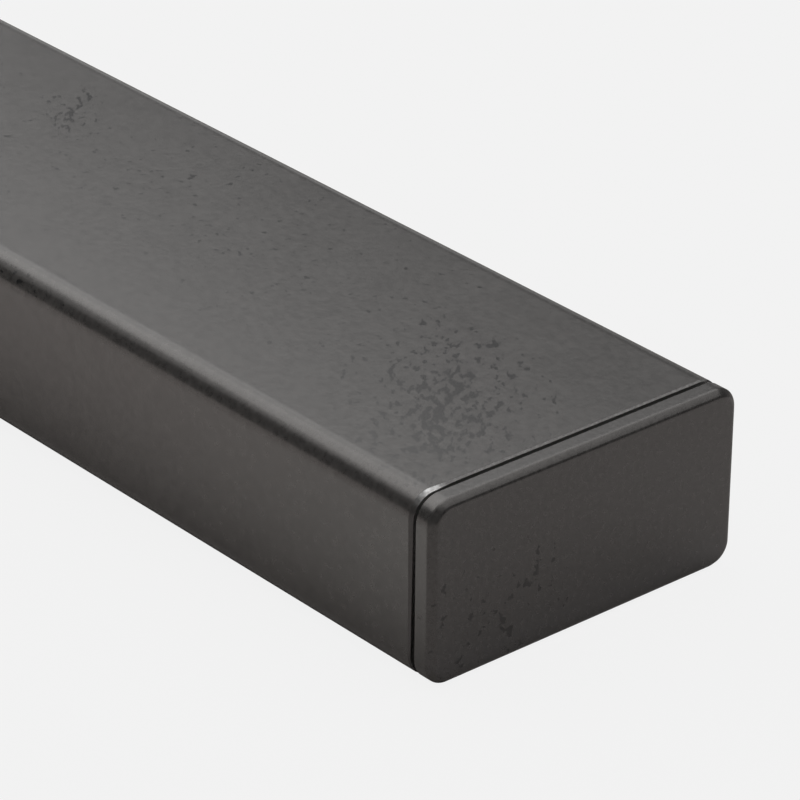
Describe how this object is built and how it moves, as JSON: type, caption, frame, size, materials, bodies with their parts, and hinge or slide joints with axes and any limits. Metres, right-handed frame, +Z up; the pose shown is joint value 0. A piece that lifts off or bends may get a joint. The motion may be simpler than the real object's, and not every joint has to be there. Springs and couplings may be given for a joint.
{
  "type": "handrail",
  "caption": "Straight flat handrail: a hollow extruded aluminium rail with rounded long edges, closed at both ends by flush moulded caps, fixed to brackets from below.",
  "frame": {"origin": "middle of the flat underside, halfway along the rail", "axes": "+X along the rail towards the front end cap, +Y across its width, +Z up to the palm side"},
  "size_m": [1.009, 0.06, 0.03],
  "materials": {
    "powder_coat": "satin",
    "cap_plastic": "satin"
  },
  "bodies": {
    "root": {"rail_profile": "powder_coat", "end_cap_front": "cap_plastic", "end_cap_rear": "cap_plastic"}
  },
  "joints": []
}
